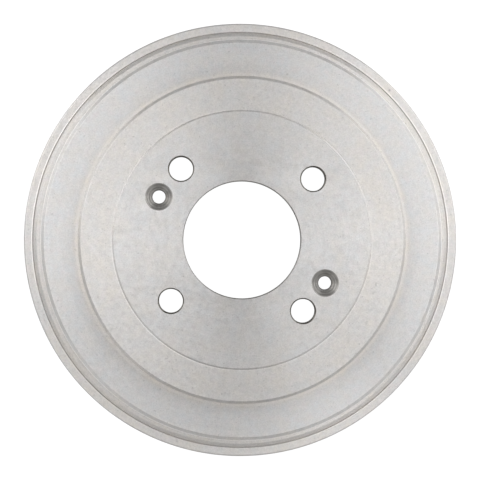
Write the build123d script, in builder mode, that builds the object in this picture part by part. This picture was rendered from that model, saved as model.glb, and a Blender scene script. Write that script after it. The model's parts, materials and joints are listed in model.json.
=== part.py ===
from build123d import *
from math import isclose, radians, tan
import os

# Rear brake drum of a small car. It is one grey-iron casting, turned on the wheel face, the
# shoulder, the collar, the flange, the brake track and the hub seat inside.
# The origin is the centre of the open rim, which the drum rests on, and +Z runs along the
# axis to the wheel face. Sizes are in millimetres, angles in degrees.

drum_height = 58.0              # open rim to wheel face
edge_break = 0.6                # chamfer on turned and drilled edges

# Brake track, the bored cylinder that the shoes rub on
track_diameter = 203.2
mouth_length = 2.5              # bevel that leads the shoes in
mouth_angle = 30.0
runout_width = 4.0              # groove where the boring tool runs out
runout_depth = 0.8

# Cast shell
wall_thickness = 6.9            # round the brake track
shoulder_thickness = 7.5
hub_wall_thickness = 7.5
plate_thickness = 7.5           # through the hub seat
pocket_draft = 12.0             # taper that lets the core out of the hub's pocket

# Raised hub and the shoulder round it
hub_diameter = 175.4
hub_rise = 11.5                 # wheel face above the foot of the hub
hub_edge_chamfer = 1.7
shoulder_slope = 3.5            # fall of the shoulder away from the hub
shoulder_edge_chamfer = 2.1

# Wheel seat, the turned disc that the wheel bears on, and the hub seat inside
wheel_seat_diameter = 138.4
wheel_seat_rise = 0.6
hub_seat_diameter = 142.0
hub_seat_rise = 0.8

# Collar and flange that stiffen the open end
collar_width = 6.0              # outside the wall
collar_height = 3.0             # above the flange
collar_chamfer = 1.7
flange_width = 5.2              # outside the collar
flange_thickness = 14.0

# Dust groove in the open rim, where the lip of the backing plate runs
groove_land = 8.0               # between the brake track and the groove
groove_width = 5.5
groove_depth = 6.0

# Centre bore, wheel stud holes and retaining screw holes
bore_diameter = 62.7
bolt_circle = 100.0
stud_count = 4
stud_hole_diameter = 12.8
stud_angle = 45.0               # first stud hole, from +X
screw_count = 2
screw_hole_diameter = 7.0
screw_head_diameter = 14.6
screw_head_angle = 90.0
screw_lead = 22.0               # from a stud hole on to the screw hole beside it

# Radii of the shell, from the axis outwards
wheel_seat_radius = wheel_seat_diameter / 2
hub_seat_radius = hub_seat_diameter / 2
hub_radius = hub_diameter / 2
pocket_radius = hub_radius - hub_wall_thickness
track_radius = track_diameter / 2
runout_radius = track_radius + runout_depth
mouth_radius = track_radius + mouth_length * tan(radians(mouth_angle))
groove_radius = track_radius + groove_land
wall_radius = track_radius + wall_thickness
collar_radius = wall_radius + collar_width
flange_radius = collar_radius + flange_width

# Heights above the open rim
hub_face_height = drum_height - wheel_seat_rise
hub_seat_height = drum_height - plate_thickness
pocket_ceiling = hub_seat_height + hub_seat_rise
collar_top = flange_thickness + collar_height


def shoulder_top(radius):
    """Height of the sloping shoulder at a radius."""
    return drum_height - hub_rise - (radius - hub_radius) * tan(radians(shoulder_slope))


def shoulder_underside(radius):
    """Height of the inside of the shoulder, parallel to its top."""
    return shoulder_top(radius) - shoulder_thickness


def top_corner(section, radius):
    """Highest corner of a turned section at a radius."""
    corners = section.vertices().filter_by(lambda corner: isclose(corner.X, radius))
    return corners.sort_by(Axis.Y)[-1]


# Taper of the hub's pocket and end of the brake track
pocket_depth = pocket_ceiling - shoulder_underside(pocket_radius)
pocket_mouth_radius = pocket_radius + pocket_depth * tan(radians(pocket_draft))
track_end = shoulder_underside(runout_radius) - runout_width

with BuildPart() as brake_drum:
    # Outside of the casting
    with BuildSketch(Plane.XZ) as outside:
        with BuildLine():
            Polyline(
                (0, 0),
                (flange_radius, 0),
                (flange_radius, flange_thickness),
                (collar_radius, flange_thickness),
                (collar_radius, collar_top),
                (wall_radius, collar_top),
                (wall_radius, shoulder_top(wall_radius)),
                (hub_radius, shoulder_top(hub_radius)),
                (hub_radius, hub_face_height),
                (wheel_seat_radius, hub_face_height),
                (wheel_seat_radius - wheel_seat_rise, drum_height),
                (0, drum_height),
                close=True,
            )
        make_face()
        chamfer(top_corner(outside, hub_radius), hub_edge_chamfer)
        chamfer(top_corner(outside, wall_radius), shoulder_edge_chamfer)
        chamfer(top_corner(outside, collar_radius), collar_chamfer)
        chamfer(top_corner(outside, flange_radius), edge_break)
    revolve(axis=Axis.Z)

    # Cavity: lead-in, brake track, run-out groove, pocket under the hub, and hub seat
    with BuildSketch(Plane.XZ):
        with BuildLine():
            Polyline(
                (0, 0),
                (mouth_radius, 0),
                (track_radius, mouth_length),
                (track_radius, track_end),
                (runout_radius, track_end + runout_depth),
                (runout_radius, shoulder_underside(runout_radius)),
                (pocket_mouth_radius, shoulder_underside(pocket_mouth_radius)),
                (pocket_radius, pocket_ceiling),
                (hub_seat_radius, pocket_ceiling),
                (hub_seat_radius - hub_seat_rise, hub_seat_height),
                (0, hub_seat_height),
                close=True,
            )
        make_face()
    revolve(axis=Axis.Z, mode=Mode.SUBTRACT)

    # Dust groove
    with BuildSketch(Plane.XY):
        Circle(groove_radius + groove_width)
        Circle(groove_radius, mode=Mode.SUBTRACT)
    extrude(amount=groove_depth, mode=Mode.SUBTRACT)

    # Centre bore and stud holes, chamfered on the wheel face
    with Locations((0, 0, drum_height)):
        Hole(bore_diameter / 2)
        with PolarLocations(bolt_circle / 2, stud_count, start_angle=stud_angle):
            Hole(stud_hole_diameter / 2)
    wheel_face = brake_drum.faces().sort_by(Axis.Z)[-1]
    chamfer(wheel_face.inner_wires().edges(), edge_break)

    # Countersunk holes for the screws that hold the drum on its hub
    first_screw_angle = stud_angle + 360 / stud_count + screw_lead
    with Locations((0, 0, drum_height)):
        with PolarLocations(bolt_circle / 2, screw_count, start_angle=first_screw_angle):
            CounterSinkHole(
                screw_hole_diameter / 2,
                screw_head_diameter / 2,
                counter_sink_angle=screw_head_angle,
            )

brake_drum.part.label = "brake_drum"
os.makedirs("parts", exist_ok=True)
export_step(brake_drum.part, "parts/brake_drum.step")
print("brake_drum volume, cm3:", round(brake_drum.part.volume / 1000, 1))
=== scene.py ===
import json
from math import ceil, cos, pi, radians, sin, tan

import bmesh
import bpy
from mathutils import Matrix, Vector
from mathutils.geometry import tessellate_polygon


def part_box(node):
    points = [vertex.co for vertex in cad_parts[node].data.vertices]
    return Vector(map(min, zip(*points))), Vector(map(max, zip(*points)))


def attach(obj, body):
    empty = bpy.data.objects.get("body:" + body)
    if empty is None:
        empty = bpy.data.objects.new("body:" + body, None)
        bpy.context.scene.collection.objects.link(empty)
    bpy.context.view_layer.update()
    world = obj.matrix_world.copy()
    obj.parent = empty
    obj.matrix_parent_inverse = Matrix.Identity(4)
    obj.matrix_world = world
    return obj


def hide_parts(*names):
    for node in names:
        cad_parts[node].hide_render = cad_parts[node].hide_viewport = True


# Brake drum: one turned iron casting on a pale floor, seen along its axis from the wheel side.
# The frame is in metres, with the open rim on the floor at z = 0 and the wheel face on top.
# Outlines below are written in millimetres as (radius, height, round) corners of a turned
# section, and become rings of vertices round the axis.

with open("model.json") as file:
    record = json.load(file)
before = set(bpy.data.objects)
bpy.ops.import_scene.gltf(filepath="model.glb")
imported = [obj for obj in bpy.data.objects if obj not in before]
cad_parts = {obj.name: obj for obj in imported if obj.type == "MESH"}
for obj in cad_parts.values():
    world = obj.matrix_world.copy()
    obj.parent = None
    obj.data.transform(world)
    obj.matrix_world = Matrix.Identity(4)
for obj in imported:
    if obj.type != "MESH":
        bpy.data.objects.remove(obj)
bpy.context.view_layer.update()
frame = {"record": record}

MM = 0.001
DRUM = "brake_drum"
MOUNTS = {mount["name"]: mount for mount in frame["record"]["mounts"]}

# ------------------------------------------------------------------ sizes from the frame

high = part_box(DRUM)[1]
rim_radius = high.x / MM
drum_height = high.z / MM
bore_radius = MOUNTS["centre_bore"]["dims"]["r_mm"]
track_radius = MOUNTS["brake_track"]["dims"]["r_mm"]
stud_radius = MOUNTS["wheel_studs"]["dims"]["hole_r_mm"]
stud_count = MOUNTS["wheel_studs"]["dims"]["count"]
screw_radius = MOUNTS["retaining_screws"]["dims"]["hole_r_mm"]
screw_count = MOUNTS["retaining_screws"]["dims"]["count"]
bolt_circle_radius = MOUNTS["wheel_studs"]["dims"]["pcd_mm"] / 2
hub_seat_height = MOUNTS["hub_face"]["pos_m"][2] / MM

# Outside of the turned section, in millimetres
seat_radius = 68.62             # wheel seat, proud of the hub face
seat_foot_radius = 69.42
seat_rise = 0.6
hub_face_height = drum_height - seat_rise
hub_radius = 87.7
hub_chamfer = 1.6
hub_foot_height = 46.5
shoulder_fall = tan(radians(3.5))
wall_radius = 108.5
shoulder_chamfer = 2.1
collar_radius = 114.25
collar_top = 17.0
collar_chamfer = 1.8
flange_height = 14.0
flange_chamfer = 0.8
edge_break = 0.6                # chamfer on drilled edges
bore_break = 0.35

# Finish that a lathe leaves on the outside
seat_relief = 0.12              # depth of the wheel seat's foot under the hub face
relief_width = 0.45
collar_tilt = 0.15              # the collar's top starts this much above collar_top, ends below it
foot_groove_width = 0.35        # groove in the flange at the collar's foot
foot_groove_depth = 0.35
foot_bead_start = 0.72          # bead beside it, in radius beyond the collar
foot_bead_end = 0.85
foot_bead_height = 0.05
flange_dish_start = 1.25        # beyond the collar too, where the flange lies lowest
flange_dish = 0.17

# Inside of the turned section
groove_inner_radius = 109.6     # dust groove in the open rim
groove_outer_radius = 115.1
groove_depth = 6.0
mouth_radius = 103.04           # lead-in of the brake track
mouth_length = 2.5
runout_radius = 102.4
runout_width = 4.0
runout_depth = 0.8
cast_start = 1.0                # below the run-out's top, where turned wall gives way to cast skin
shoulder_thickness = 7.5
pocket_radius = 80.2            # pocket under the hub
pocket_mouth_radius = 82.7
pocket_ceiling = 51.3
hub_seat_radius = 70.2
hub_seat_edge_radius = 71.0
hub_seat_margin = 0.8           # turned part of the pocket's ceiling, round the hub seat's edge

# Holes in the plate, in millimetres and degrees
first_stud_angle = 45.0
screw_lead = 22.0               # from a stud hole on to the screw hole beside it
screw_head_radius = 7.3
screw_head_depth = screw_head_radius - screw_radius
tool_mark_pitch = 0.55          # chatter rings in the countersinks
tool_mark_depth = 0.03

AXIS = Vector((0, 0, 0))        # what the drum itself was turned about

# Mesh fineness
DRUM_STEPS = 316                # a multiple of 4, so that the rim touches all sides of its box
HOLE_STEPS = 72
ARC_STEP = radians(15)
SUPPORT = 0.06                  # millimetres between an edge and the ring that supports it
WELD = SUPPORT / 10             # vertices closer than this become one
SHARP_EDGE = radians(32)        # edges that turn further than this stay sharp

# How far a hole's wall looks like raw drilling rather than turned iron
DRILLED = 1.0
PARTLY_DRILLED = 0.6            # bore and countersinks

# ------------------------------------------------------------------ turned outlines


def shoulder_top(radius):
    """Height of the sloping shoulder at a radius, in millimetres."""
    return hub_foot_height - (radius - hub_radius) * shoulder_fall


def shoulder_underside(radius):
    """Height of the shoulder's inside at a radius, in millimetres."""
    return shoulder_top(radius) - shoulder_thickness


def corner_arc(before, corner, after, size):
    """Points of the arc of a radius that rounds a corner of an outline."""
    into = (before - corner).normalized()
    out = (after - corner).normalized()
    half_angle = into.angle(out) / 2
    reach = size / tan(half_angle)
    centre = corner + (into + out).normalized() * (size / sin(half_angle))
    start = corner + into * reach - centre
    end = corner + out * reach - centre
    sweep = start.angle_signed(end)
    steps = max(2, ceil(abs(sweep) / ARC_STEP))
    return [centre + Matrix.Rotation(-sweep * i / steps, 2) @ start for i in range(steps + 1)]


def outline(corners):
    """Points of an outline whose (radius, height, round) corners are rounded and supported."""
    places = [Vector(corner[:2]) for corner in corners]
    points = [places[0]]
    for i in range(1, len(corners) - 1):
        size = corners[i][2]
        points += corner_arc(*places[i - 1:i + 2], size) if size else [places[i]]
    points.append(places[-1])
    supported = [points[0]]
    for start, end in zip(points, points[1:]):
        along = end - start
        if along.length > 4 * SUPPORT:
            step = along.normalized() * SUPPORT
            supported += [start + step, end - step]
        supported.append(end)
    return supported


runout_top = shoulder_underside(runout_radius)

OUTSIDE = [
    (seat_radius - SUPPORT, drum_height, 0),
    (seat_radius, drum_height, 0.08),
    (seat_foot_radius, hub_face_height - seat_relief, 0.08),
    (seat_foot_radius + relief_width, hub_face_height, 0.15),
    (hub_radius - hub_chamfer, hub_face_height, 0.2),
    (hub_radius, hub_face_height - hub_chamfer, 0.2),
    (hub_radius, hub_foot_height, 0.25),
    (wall_radius - shoulder_chamfer, shoulder_top(wall_radius - shoulder_chamfer), 0.35),
    (wall_radius, shoulder_top(wall_radius) - shoulder_chamfer, 0.35),
    (wall_radius, collar_top + collar_tilt, 0.3),
    (collar_radius - collar_chamfer, collar_top - collar_tilt, 0.15),
    (collar_radius, collar_top - collar_chamfer, 1.0),
    (collar_radius, flange_height - foot_groove_depth, 0.12),
    (collar_radius + foot_groove_width, flange_height - foot_groove_depth, 0.1),
    (collar_radius + foot_bead_start, flange_height + foot_bead_height, 0.12),
    (collar_radius + foot_bead_end, flange_height + foot_bead_height, 0.1),
    (collar_radius + flange_dish_start, flange_height - flange_dish, 0.2),
    (rim_radius - flange_chamfer, flange_height, 0.15),
    (rim_radius, flange_height - flange_chamfer, 0.2),
    (rim_radius, 0.0, 0.35),
    (groove_outer_radius, 0.0, 0.25),
    (groove_outer_radius, groove_depth, 0.6),
    (groove_inner_radius, groove_depth, 0.6),
    (groove_inner_radius, 0.0, 0.3),
    (mouth_radius, 0.0, 0.2),
    (track_radius, mouth_length, 0.6),
    (track_radius, runout_top - runout_width, 0.2),
    (runout_radius, runout_top - runout_width + runout_depth, 0.3),
    (runout_radius, runout_top - cast_start, 0),
]
CAST_INSIDE = [
    (runout_radius, runout_top - cast_start, 0),
    (runout_radius, runout_top, 0.9),
    (pocket_mouth_radius, shoulder_underside(pocket_mouth_radius), 3.0),
    (pocket_radius, pocket_ceiling, 2.5),
    (hub_seat_edge_radius + hub_seat_margin, pocket_ceiling, 0),
]
HUB_SEAT_EDGE = [
    (hub_seat_edge_radius + hub_seat_margin, pocket_ceiling, 0),
    (hub_seat_edge_radius, pocket_ceiling, 0.4),
    (hub_seat_radius, hub_seat_height, 0.2),
    (hub_seat_radius - SUPPORT, hub_seat_height, 0),
]


def hole(radius, edge, round_size):
    """Outline of a hole through the plate, with a rounded chamfer on the wheel side."""
    return [
        (radius + SUPPORT, hub_seat_height, 0),
        (radius, hub_seat_height, 0),
        (radius, drum_height - edge, round_size),
        (radius + edge, drum_height, round_size),
        (radius + edge + SUPPORT, drum_height, 0),
    ]


def countersink():
    """Outline of a screw hole, with the rings that the countersink cutter left in its cone."""
    rings = int(screw_head_depth / tool_mark_pitch)
    cone_foot = drum_height - screw_head_depth
    corners = [
        (screw_radius + SUPPORT, hub_seat_height, 0),
        (screw_radius, hub_seat_height, 0),
        (screw_radius, cone_foot, 0.1),
    ]
    for ring in range(1, rings):
        rise = screw_head_depth * ring / rings
        depth = tool_mark_depth * (-1) ** ring
        corners.append((screw_radius + rise + depth, cone_foot + rise - depth, 0.12))
    corners += [
        (screw_head_radius, drum_height, 0.15),
        (screw_head_radius + SUPPORT, drum_height, 0),
    ]
    return corners


# ------------------------------------------------------------------ mesh


def ring_points(radius, height, steps, centre):
    """Points of a circle round a centre, all in millimetres."""
    return [
        Vector((centre.x + radius * cos(2 * pi * i / steps),
                centre.y + radius * sin(2 * pi * i / steps), height))
        for i in range(steps)
    ]


class TurnedMesh:
    """Mesh of a turned part: lathed outlines and the flat faces between them."""

    def __init__(self):
        self.mesh = bmesh.new()
        self.centre_layer = self.mesh.faces.layers.float_vector.new("turning_centre")
        self.cast_layer = self.mesh.faces.layers.float.new("as_cast")
        self.drilled_layer = self.mesh.faces.layers.float.new("as_drilled")

    def vertices(self, points):
        """New vertices at points in millimetres."""
        return [self.mesh.verts.new(point * MM) for point in points]

    def face(self, vertices, centre=AXIS, cast=0.0, drilled=0.0):
        """New face that knows its axis and whether it was left as cast or drilled."""
        face = self.mesh.faces.new(vertices)
        face[self.centre_layer] = centre * MM
        face[self.cast_layer] = cast
        face[self.drilled_layer] = drilled

    def lathe(self, corners, steps=DRUM_STEPS, centre=AXIS, cast=0.0, drilled=0.0):
        """Turns an outline round a centre and returns its first and last ring's points."""
        rings = [ring_points(place.x, place.y, steps, centre) for place in outline(corners)]
        made = [self.vertices(points) for points in rings]
        for inner, outer in zip(made, made[1:]):
            for i in range(steps):
                j = (i + 1) % steps
                self.face((inner[i], inner[j], outer[j], outer[i]), centre, cast, drilled)
        return rings[0], rings[-1]

    def plate(self, loops):
        """Flat turned face inside the first loop of points and outside the others."""
        vertices = self.vertices([point for loop in loops for point in loop])
        for triangle in tessellate_polygon(loops):
            self.face([vertices[i] for i in triangle])

    def finish(self, name):
        """Joins the pieces into one closed object with smooth faces and sharp edges."""
        bmesh.ops.remove_doubles(self.mesh, verts=self.mesh.verts, dist=WELD * MM)
        bmesh.ops.recalc_face_normals(self.mesh, faces=self.mesh.faces)
        data = bpy.data.meshes.new(name)
        self.mesh.to_mesh(data)
        self.mesh.free()
        data.shade_smooth()
        data.set_sharp_from_angle(angle=SHARP_EDGE)
        made = bpy.data.objects.new(name, data)
        bpy.context.scene.collection.objects.link(made)
        return made


def hole_centres(count, first_angle):
    """Centres of holes spread evenly on the bolt circle."""
    angles = [radians(first_angle + 360 * i / count) for i in range(count)]
    return [Vector((cos(a), sin(a), 0)) * bolt_circle_radius for a in angles]


def make_drum():
    """The whole drum as one closed mesh."""
    turned = TurnedMesh()
    seat_edge, _ = turned.lathe(OUTSIDE)
    turned.lathe(CAST_INSIDE, cast=1.0)
    _, hub_seat_edge = turned.lathe(HUB_SEAT_EDGE)
    bore = hole(bore_radius, bore_break, round_size=0.1)
    bore_back, bore_front = turned.lathe(bore, drilled=PARTLY_DRILLED)
    stud_hole = hole(stud_radius, edge_break, round_size=0.15)
    holes = [turned.lathe(stud_hole, HOLE_STEPS, centre, drilled=DRILLED)
             for centre in hole_centres(stud_count, first_stud_angle)]
    first_screw_angle = first_stud_angle + 360 / stud_count + screw_lead
    holes += [turned.lathe(countersink(), HOLE_STEPS, centre, drilled=PARTLY_DRILLED)
              for centre in hole_centres(screw_count, first_screw_angle)]
    backs, fronts = zip(*holes)
    turned.plate([hub_seat_edge, bore_back, *backs])
    turned.plate([seat_edge, bore_front, *fronts])
    return turned.finish("drum_casting")


# ------------------------------------------------------------------ material


TABLE_TOP = 2.0                 # highest value that a table by radius can hold
NOISE_LOW = 0.3                 # nearly all of a noise lies between these
NOISE_HIGH = 0.7


class Nodes:
    """Short way to add and join the nodes of a material."""

    def __init__(self, tree):
        self.tree = tree
        self.tree.nodes.clear()

    def add(self, kind, settings=None, **inputs):
        """Adds a node, sets its properties, and fills or links its inputs by name."""
        node = self.tree.nodes.new("ShaderNode" + kind)
        for key, value in (settings or {}).items():
            setattr(node, key, value)
        for key, value in inputs.items():
            self.fill(node.inputs[key.replace("_", " ")], value)
        return node

    def fill(self, socket, value):
        """Links a socket to another, or sets its value."""
        if isinstance(value, bpy.types.NodeSocket):
            self.tree.links.new(socket, value)
        else:
            socket.default_value = value

    def math(self, operation, *values):
        """Result of a Math node."""
        node = self.tree.nodes.new("ShaderNodeMath")
        node.operation = operation
        for socket, value in zip(node.inputs, values):
            self.fill(socket, value)
        return node.outputs[0]

    def total(self, first, *others):
        """Sum of values."""
        for other in others:
            first = self.math("ADD", first, other)
        return first

    def vector(self, operation, *values):
        """Result of a Vector Math node, a number for a length or a dot product."""
        node = self.tree.nodes.new("ShaderNodeVectorMath")
        node.operation = operation
        for socket, value in zip(node.inputs, values):
            self.fill(socket, value)
        return node.outputs["Value" if operation in ("LENGTH", "DOT_PRODUCT") else "Vector"]

    def noise(self, vector, scale, detail, roughness, dimensions="3D"):
        """Value of a noise with that many bumps to a metre, or to a unit of its vector."""
        node = self.add("TexNoise", {"noise_dimensions": dimensions},
                        Scale=scale, Detail=detail, Roughness=roughness)
        self.fill(node.inputs["W" if dimensions == "1D" else "Vector"], vector)
        return node.outputs["Fac"]

    def span(self, value, low_in, high_in, low_out, high_out):
        """Value moved from one range to another and kept inside it."""
        node = self.add("MapRange", Value=value, From_Min=low_in, From_Max=high_in,
                        To_Min=low_out, To_Max=high_out)
        return node.outputs["Result"]

    def swing(self, noise, amount):
        """Noise turned into a change of up to that amount either way."""
        return self.span(noise, NOISE_LOW, NOISE_HIGH, -amount, amount)

    def by_radius(self, reach, table):
        """Value read from a table of (radius in millimetres, value)."""
        node = self.add("ValToRGB", Fac=self.math("DIVIDE", reach, rim_radius * MM))
        stops = node.color_ramp.elements
        while len(stops) < len(table):
            stops.new(1.0)
        for stop, (radius, value) in zip(stops, table):
            stop.position = radius / rim_radius
            stop.color = (value / TABLE_TOP, value / TABLE_TOP, value / TABLE_TOP, 1)
        return self.math("MULTIPLY", node.outputs["Color"], TABLE_TOP)

    def mix(self, factor, first, second, blend="MIX"):
        """Mixed colour, by the numbers of its sockets, because other kinds share their names."""
        node = self.add("Mix", {"data_type": "RGBA", "blend_type": blend})
        self.fill(node.inputs["Factor"], factor)
        self.fill(node.inputs[6], first)
        self.fill(node.inputs[7], second)
        return node.outputs[2]


# Tables of (radius in millimetres, value), for what differs from one turned land to the next
inside_bore = bore_radius - 0.35        # where the tables start
WALL_SHINE = 1.45               # upright walls reflect more, which lights the lands beside them

# Painted light and shade by radius: darker lines and chamfers where shade falls, lighter rings and
# flange where light and reflections fall
RING_LIGHT_AND_SHADE = [
    # Wheel seat, a painted shade line along its step and a painted highlight past its foot
    (inside_bore, 0.96),
    (seat_radius - 0.12, 1.04),
    (seat_radius + 0.13, 0.81),
    (seat_foot_radius - 0.27, 0.81),
    (seat_foot_radius + 0.18, 1.14),
    (seat_foot_radius + 0.88, 1.06),
    # Hub face, its chamfer darkened with painted shade, and its wall
    (hub_radius - 1.7, 1.06),
    (hub_radius - 1.3, 0.90),
    (hub_radius - 0.2, 0.90),
    (hub_radius - 0.05, WALL_SHINE),
    (hub_radius + 0.05, WALL_SHINE),
    # Shoulder, with a painted reflection ring beside the hub
    (hub_radius + 0.3, 1.02),
    (hub_radius + 0.9, 1.04),
    (hub_radius + 1.2, 1.11),
    (hub_radius + 1.7, 1.10),
    (hub_radius + 2.5, 1.02),
    (wall_radius - 2.3, 1.02),
    # Shoulder's chamfer and the outer wall
    (wall_radius - 0.15, 1.04),
    (wall_radius - 0.05, WALL_SHINE),
    (wall_radius + 0.05, WALL_SHINE),
    # Collar's top, with a painted highlight ring, and its chamfer darkened with painted shade
    (wall_radius + 0.2, 0.97),
    (collar_radius - 3.35, 0.94),
    (collar_radius - 2.55, 1.01),
    (collar_radius - 2.05, 1.00),
    (collar_radius - 1.45, 0.94),
    (collar_radius + 0.15, 0.90),
    # Painted shade line at the collar's foot, then the flange lightened with painted light, and
    # the rim
    (collar_radius + 0.5, 0.76),
    (collar_radius + 0.75, 0.92),
    (collar_radius + 1.15, 1.22),
    (rim_radius - 0.9, 1.23),
    (rim_radius - 0.5, 1.00),
]
# Painted light and shade on the lower side of the view: how bright, beside 1, the iron is drawn
# there, darker on the hub and lighter out to the flange
LOWER_SIDE_LIGHT_AND_SHADE = [
    (inside_bore, 0.95),
    (hub_radius - 1.7, 0.93),
    (hub_radius + 0.3, 1.0),
    (wall_radius - 2.5, 1.04),
    (wall_radius + 0.2, 1.10),
]
LOWER_SIDE = (0.215, -0.977, 0)         # where that side lies from the axis
# Roughness of the turned iron, which is rougher on the outer wall
ROUGHNESS = [
    (inside_bore, 0.42),
    (wall_radius - 0.2, 0.42),
    (wall_radius - 0.1, 0.60),
    (wall_radius + 0.1, 0.60),
    (wall_radius + 0.4, 0.40),
]
# How much oil stays on the iron, most of it in the corner between hub and shoulder
OIL_FILM = [
    (inside_bore, 0.50),
    (seat_radius - 0.62, 0.58),
    (seat_foot_radius + 0.58, 0.95),
    (hub_radius - 1.7, 0.85),
    (hub_radius + 0.3, 1.4),
    (hub_radius + 2.3, 1.1),
    (hub_radius + 4.3, 0.30),
    (wall_radius - 3.5, 0.25),
    (wall_radius - 1.5, 0.70),
    (collar_radius - 0.25, 1.10),
    (collar_radius + 1.75, 0.70),
]
# The few pits that show: azimuth in degrees, radius and size in millimetres, and darkness
PITS = [
    (49.5, 117, 0.9, 0.45),
    (47.5, 95.5, 0.6, 0.20),
    (79, 92.5, 0.8, 0.16),
    (201.5, 117, 0.6, 0.20),
]
PIT_FLOOR = 0.3                 # share of a pit's size that is fully dark

# Colours
COOL_IRON = (0.627, 0.650, 0.680, 1)
OILED_IRON = (0.712, 0.650, 0.570, 1)
BLUSHED_IRON = (0.684, 0.646, 0.648, 1)
DRILLED_DARK = (0.10, 0.092, 0.080, 1)
DRILLED_LIGHT = (0.26, 0.25, 0.225, 1)
CAST_SKIN = (0.28, 0.268, 0.26, 1)
OIL_STRENGTH = 0.25             # how far the oil's own colour comes through
BLUSH_STRENGTH = 0.6
BLUSH_OFFSET = (1, 2, 3)        # metres, so that the blush doesn't follow the other noises
STAIN_FILM = (0.5, 1.5)         # least and most oil that stains add

# How much lighter or darker the grain makes the iron
SPECKLE_TONE = 0.075
MOTTLE_TONE = 0.045
PASS_TONE = 0.02                # passes of the tool
SPECK_TONE = 0.16               # only darker

# How much rougher mottling, cast skin and drilling make it
MOTTLE_ROUGHNESS = 0.05
CAST_ROUGHNESS = 0.25
DRILLED_ROUGHNESS = -0.12

# Sizes of the grain, in bumps a metre
SPECKLE_SCALE = 1400.0
SPECK_SCALE = 760.0
MOTTLE_SCALE = 420.0
BLUSH_SCALE = 260.0
STAIN_SCALE = 110.0
SKIN_SCALE = 1300.0
PASS_SCALE = 900.0              # across the turning, as are the next two
DRILLING_SCALE = 2600.0
GROOVE_SCALE = 4200.0
ARC_WAVES = (1.5, 1.5, 0)       # along it, in bumps a radian

# Relief, in metres
GROOVE_DEPTH = 0.000004
GRAIN_DEPTH = 0.000006
CAST_DEPTH = 0.0002

# The grooves stretch highlights across them
ANISOTROPY = 0.75
QUARTER_TURN = 0.25


class Surface:
    """What the material knows of a place on the drum: where it lies, its making and mottling."""

    def __init__(self, nodes):
        self.place = nodes.add("TexCoord").outputs["Object"]
        self.cast = nodes.add("Attribute", {"attribute_name": "as_cast"}).outputs["Fac"]
        self.drilled = nodes.add("Attribute", {"attribute_name": "as_drilled"}).outputs["Fac"]
        centre = nodes.add("Attribute", {"attribute_name": "turning_centre"}).outputs["Vector"]
        from_centre = nodes.vector("SUBTRACT", self.place, centre)
        self.arm = nodes.vector("MULTIPLY", from_centre, (1, 1, 0))
        self.radius = nodes.vector("LENGTH", self.arm)
        across = nodes.vector("CROSS_PRODUCT", (0, 0, 1), self.arm)
        self.around = nodes.vector("NORMALIZE", across)
        self.flat_place = nodes.vector("MULTIPLY", self.place, (1, 1, 0))
        self.reach = nodes.vector("LENGTH", self.flat_place)
        self.mottle = nodes.noise(self.place, MOTTLE_SCALE, detail=3.0, roughness=0.6)


def arcs(nodes, surface, scale):
    """Noise that changes fast across the turning and slowly along it."""
    along = nodes.vector("MULTIPLY", nodes.vector("NORMALIZE", surface.arm), ARC_WAVES)
    across = nodes.add("CombineXYZ", Z=nodes.math("MULTIPLY", surface.radius, scale)).outputs[0]
    return nodes.noise(nodes.vector("ADD", along, across), 1.0, detail=3.0, roughness=0.7)


def grain_tone(nodes, surface):
    """Change of tone by fine speckle, coarser mottling, passes of the tool and dark specks."""
    speckle = nodes.noise(surface.place, SPECKLE_SCALE, detail=2.0, roughness=0.6)
    passes = arcs(nodes, surface, PASS_SCALE)
    specks = nodes.noise(surface.place, SPECK_SCALE, detail=1.0, roughness=0.4)
    return nodes.total(
        nodes.swing(speckle, SPECKLE_TONE),
        nodes.swing(surface.mottle, MOTTLE_TONE),
        nodes.swing(passes, PASS_TONE),
        nodes.span(specks, 0.70, 0.76, 0.0, -SPECK_TONE),
    )


def pit_tone(nodes, surface):
    """Change of tone by the pits."""
    spots = []
    for azimuth, distance, size, darkness in PITS:
        turn = radians(azimuth)
        pit = Vector((cos(turn), sin(turn), 0)) * distance * MM
        away = nodes.vector("LENGTH", nodes.vector("SUBTRACT", surface.flat_place, pit))
        spots.append(nodes.span(away, PIT_FLOOR * size * MM, size * MM, -darkness, 0.0))
    return nodes.total(*spots)


def painted_lower_side_light(nodes, surface):
    """Painted light and shade toward the lower side of the view, and none on the upper side."""
    outward = nodes.vector("NORMALIZE", surface.flat_place)
    toward = nodes.vector("DOT_PRODUCT", outward, LOWER_SIDE)
    lower_side_weight = nodes.math("MULTIPLY", nodes.math("MAXIMUM", toward, 0.0), toward)
    change = nodes.math("SUBTRACT", nodes.by_radius(surface.reach, LOWER_SIDE_LIGHT_AND_SHADE), 1.0)
    return nodes.math("MULTIPLY", lower_side_weight, change)


def bare_iron(nodes, surface):
    """Colour of the bare iron, tinted by a film of preserving oil and faint rust."""
    stain = nodes.noise(surface.place, STAIN_SCALE, detail=3.0, roughness=0.6)
    film = nodes.total(nodes.by_radius(surface.reach, OIL_FILM),
                       nodes.span(stain, 0.35, 0.65, *STAIN_FILM))
    iron = nodes.mix(nodes.math("MULTIPLY", film, OIL_STRENGTH), COOL_IRON, OILED_IRON)
    moved = nodes.vector("ADD", surface.place, BLUSH_OFFSET)
    blush = nodes.noise(moved, BLUSH_SCALE, detail=2.0, roughness=0.5)
    return nodes.mix(nodes.span(blush, 0.45, 0.75, 0.0, BLUSH_STRENGTH), iron, BLUSHED_IRON)


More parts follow.
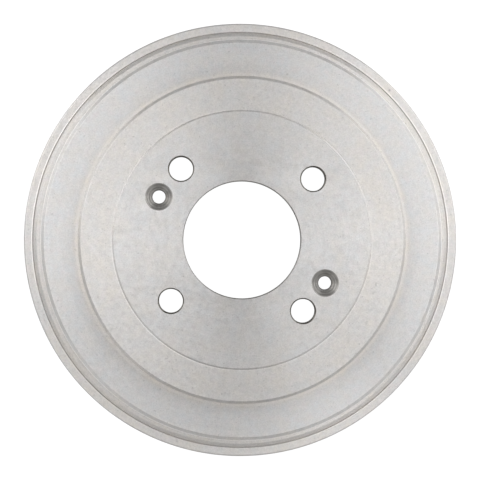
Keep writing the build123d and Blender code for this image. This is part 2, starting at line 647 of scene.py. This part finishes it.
def drum_colour(nodes, surface):
    """Colour of the turned, drilled and cast surfaces."""
    # The tone holds painted light and shade, by radius and on the lower side, besides the grain
    # and pits
    tone = nodes.total(
        grain_tone(nodes, surface),
        pit_tone(nodes, surface),
        painted_lower_side_light(nodes, surface),
        nodes.by_radius(surface.reach, RING_LIGHT_AND_SHADE),
    )
    grey = nodes.add("CombineXYZ", X=tone, Y=tone, Z=tone).outputs[0]
    turned = nodes.mix(1.0, bare_iron(nodes, surface), grey, "MULTIPLY")
    marks = arcs(nodes, surface, DRILLING_SCALE)
    drilled = nodes.mix(nodes.span(marks, 0.35, 0.65, 0.0, 1.0), DRILLED_DARK, DRILLED_LIGHT)
    machined = nodes.mix(surface.drilled, turned, drilled)
    return nodes.mix(surface.cast, machined, CAST_SKIN)


def drum_roughness(nodes, surface):
    """Roughness by radius, higher on cast skin and lower in drilled holes."""
    return nodes.total(
        nodes.swing(surface.mottle, MOTTLE_ROUGHNESS),
        nodes.by_radius(surface.reach, ROUGHNESS),
        nodes.math("MULTIPLY", surface.cast, CAST_ROUGHNESS),
        nodes.math("MULTIPLY", surface.drilled, DRILLED_ROUGHNESS),
    )


def drum_relief(nodes, surface):
    """Normal of the fine turning grooves, the grain and the bumps of the cast skin."""
    grooves = nodes.noise(surface.radius, GROOVE_SCALE, detail=1.0, roughness=0.5, dimensions="1D")
    skin = nodes.noise(surface.place, SKIN_SCALE, detail=4.0, roughness=0.6)
    height = nodes.total(
        nodes.math("MULTIPLY", grooves, GROOVE_DEPTH),
        nodes.math("MULTIPLY", skin, GRAIN_DEPTH),
        nodes.math("MULTIPLY", nodes.math("MULTIPLY", skin, surface.cast), CAST_DEPTH),
    )
    return nodes.add("Bump", Strength=1.0, Distance=1.0, Height=height).outputs["Normal"]


def turned_iron():
    """Bare grey iron: fine turning grooves round each axis, mottled grain and cast skin inside."""
    material = bpy.data.materials.new("bare_turned_iron")
    material.use_nodes = True
    nodes = Nodes(material.node_tree)
    surface = Surface(nodes)
    shader = nodes.add(
        "BsdfPrincipled",
        Base_Color=drum_colour(nodes, surface),
        Metallic=1.0,
        Roughness=drum_roughness(nodes, surface),
        Anisotropic=ANISOTROPY,
        Anisotropic_Rotation=QUARTER_TURN,
        Tangent=surface.around,
        Normal=drum_relief(nodes, surface),
    )
    nodes.add("OutputMaterial", Surface=shader.outputs[0])
    return material


# ------------------------------------------------------------------ floor, light and camera

IMAGE_TURN = radians(4.4)       # the drum's own axes, turned clockwise in the photograph
FLOOR_RADIUS = 6.0              # metres
FLOOR_LIT_UNDER_DRUM = 1.0          # painted light: floor as the camera sees it through the holes, brighter than round the drum so that no shade shows under it
FLOOR_WHITE = 0.93              # and round the drum
FADE_START = 0.10               # metres from the axis, between which one becomes the other
FADE_END = 0.12
FLOOR_PAINT = (0.16, 0.16, 0.16, 1)
FLOOR_IN_METAL = 0.18           # floor as seen in the metal, beside what the lights add
WORLD_WHITE = 1.0               # world as seen by the camera
WORLD_LEVEL = 0.48              # world as seen in the metal
WHITE = (1, 1, 1, 1)


def floor_material():
    """Pale floor that looks white, keeps a soft shadow round the drum, is lifted under it by
    painted light, and can be seen through from below.
    """
    material = bpy.data.materials.new("pale_floor")
    material.use_nodes = True
    nodes = Nodes(material.node_tree)
    path = nodes.add("LightPath").outputs
    place = nodes.add("TexCoord").outputs["Object"]
    reach = nodes.vector("LENGTH", place)
    white = nodes.span(reach, FADE_START, FADE_END, FLOOR_LIT_UNDER_DRUM, FLOOR_WHITE)
    seen = nodes.math("MAXIMUM", path["Is Camera Ray"], path["Is Transmission Ray"])
    glow = nodes.total(nodes.math("MULTIPLY", seen, white),
                       nodes.math("MULTIPLY", path["Is Glossy Ray"], FLOOR_IN_METAL))
    paint = nodes.add("BsdfDiffuse", Color=FLOOR_PAINT)
    emission = nodes.add("Emission", Color=WHITE, Strength=glow)
    both = nodes.add("AddShader")
    nodes.fill(both.inputs[0], paint.outputs[0])
    nodes.fill(both.inputs[1], emission.outputs[0])
    clear = nodes.add("BsdfTransparent")
    back = nodes.add("NewGeometry").outputs["Backfacing"]
    sided = nodes.add("MixShader", Fac=back)
    nodes.fill(sided.inputs[1], both.outputs[0])
    nodes.fill(sided.inputs[2], clear.outputs[0])
    nodes.add("OutputMaterial", Surface=sided.outputs[0])
    return material


def make_floor():
    """Wide round floor under the drum."""
    data = bpy.data.meshes.new("floor")
    mesh = bmesh.new()
    bmesh.ops.create_circle(mesh, cap_ends=True, segments=96, radius=FLOOR_RADIUS)
    mesh.to_mesh(data)
    mesh.free()
    data.materials.append(floor_material())
    floor = bpy.data.objects.new("floor", data)
    bpy.context.scene.collection.objects.link(floor)
    return floor


# How bright a softbox is, beside a white surface
KEY = 1.3
FILL = 0.5
WEAK = 0.25
FAINT = 0.1

# Softboxes, in three tiers: elevation, half height in degrees and distance in metres of the tier,
# and each box's azimuth from the image's right, half width in degrees and level
SOFTBOXES = {
    "low": (16, 20, 1.6, {
        "right_up": (25, 26, KEY),
        "upper_left": (156, 19, KEY),
        "left": (190, 14, WEAK),
        "lower_left": (222, 14, FILL),
        "bottom": (262, 22, FAINT),
        "lower_right": (298, 10, WEAK),
        "right_down": (-26, 26, FILL),
        "behind": (94, 42, FAINT),
    }),
    "high": (52, 16, 1.6, {
        "right": (20, 36, KEY),
        "upper_left": (156, 28, KEY),
        "lower_left": (215, 25, FILL),
        "bottom": (268, 17, FAINT),
        "lower_right": (300, 8, KEY),
        "behind": (92, 28, WEAK),
    }),
    "top": (74, 8, 1.9, {
        "right": (0, 14, WEAK),
        "behind": (90, 14, WEAK),
    }),
}


def softbox(name, elevation, half_height, distance, azimuth, half_width, level):
    """Rectangular area light that faces the drum."""
    width, height = (2 * distance * tan(radians(half)) for half in (half_width, half_height))
    lamp = bpy.data.lights.new(name, "AREA")
    lamp.shape = "RECTANGLE"
    lamp.size, lamp.size_y = width, height
    lamp.energy = level * width * height * pi
    made = bpy.data.objects.new(name, lamp)
    around, above = radians(azimuth) + IMAGE_TURN, radians(elevation)
    away = Vector((cos(around) * cos(above), sin(around) * cos(above), sin(above)))
    made.location = away * distance
    made.rotation_euler = away.to_track_quat("Z", "Y").to_euler()
    bpy.context.scene.collection.objects.link(made)


def make_light():
    """Plain studio light: a pale tent of softboxes, brightest at the right and upper left."""
    for tier, (elevation, half_height, distance, boxes) in SOFTBOXES.items():
        for side, box in boxes.items():
            softbox(tier + "_" + side, elevation, half_height, distance, *box)
    world = bpy.data.worlds.new("studio")
    bpy.context.scene.world = world
    world.use_nodes = True
    nodes = Nodes(world.node_tree)
    seen = nodes.add("LightPath").outputs["Is Camera Ray"]
    level = nodes.span(seen, 0.0, 1.0, WORLD_LEVEL, WORLD_WHITE)
    sky = nodes.add("Background", Color=WHITE, Strength=level)
    nodes.add("OutputWorld", Surface=sky.outputs[0])


LEAN = radians(1.11)            # camera leans toward the left of the image
AIM = (-0.25, -0.03)            # millimetres to the right and up of the axis that it looks at
CAMERA_DISTANCE = 1.224         # metres to the middle of the flange's face
SENSOR = 36.0                   # millimetres, as is the lens
LENS = 165.9


def make_camera():
    """Long-lens camera above the wheel face, leaning a little to the left."""
    data = bpy.data.cameras.new("camera")
    data.sensor_width = SENSOR
    data.lens = LENS
    camera = bpy.data.objects.new("camera", data)
    right = Vector((cos(IMAGE_TURN), sin(IMAGE_TURN), 0))
    up = Vector((-sin(IMAGE_TURN), cos(IMAGE_TURN), 0))
    back = (Vector((0, 0, 1)) * cos(LEAN) - right * sin(LEAN)).normalized()
    side = up.cross(back).normalized()
    camera.matrix_world = Matrix((side, up, back)).transposed().to_4x4()
    aim = (right * AIM[0] + up * AIM[1] + Vector((0, 0, flange_height))) * MM
    camera.location = aim + back * CAMERA_DISTANCE
    bpy.context.scene.collection.objects.link(camera)
    bpy.context.scene.camera = camera


# ------------------------------------------------------------------ scene

drum = make_drum()
drum.data.materials.append(turned_iron())
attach(drum, "root")
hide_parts(DRUM)

make_floor()
make_light()
make_camera()

bpy.context.scene.view_settings.view_transform = "Standard"
